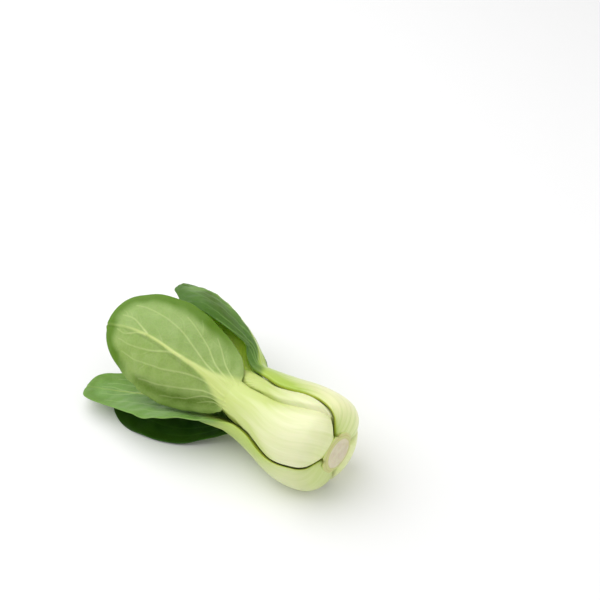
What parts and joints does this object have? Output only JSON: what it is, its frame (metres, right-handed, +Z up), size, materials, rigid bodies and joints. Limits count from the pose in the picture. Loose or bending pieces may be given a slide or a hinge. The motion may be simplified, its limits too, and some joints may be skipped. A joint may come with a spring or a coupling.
{
  "type": "head of baby bok choy",
  "caption": "Whole head of baby bok choy lying on its side: a round white-green bulb of cupped stalks on a cut stem, a narrow neck, and broad dark green oval blades fanned out past it.",
  "frame": {"origin": "on the surface that the head lies on, under the middle of its length and width", "axes": "+X points out of the cut end of the stem, -X to the leaf tips, +Y to the side away from the viewer, +Z up"},
  "size_m": [0.1514, 0.0874, 0.0595],
  "materials": {
    "cut_stem": "moist matt cut plant tissue, cream white with a green rim",
    "leaf": "satin leaf: pale cream-green stalk, mid to dark green veined blade",
    "heart_leaf": "satin young leaf, pale yellow-green"
  },
  "bodies": {
    "root": {"stem_crown": "cut_stem", "leaf_left": "leaf", "leaf_far": "leaf", "leaf_top": "leaf", "leaf_under": "leaf", "leaf_between": "leaf", "leaf_near": "leaf", "leaf_back": "leaf", "leaf_low": "leaf", "leaf_inner_a": "heart_leaf", "leaf_inner_b": "heart_leaf", "leaf_inner_c": "heart_leaf", "leaf_inner_d": "heart_leaf"}
  },
  "joints": []
}
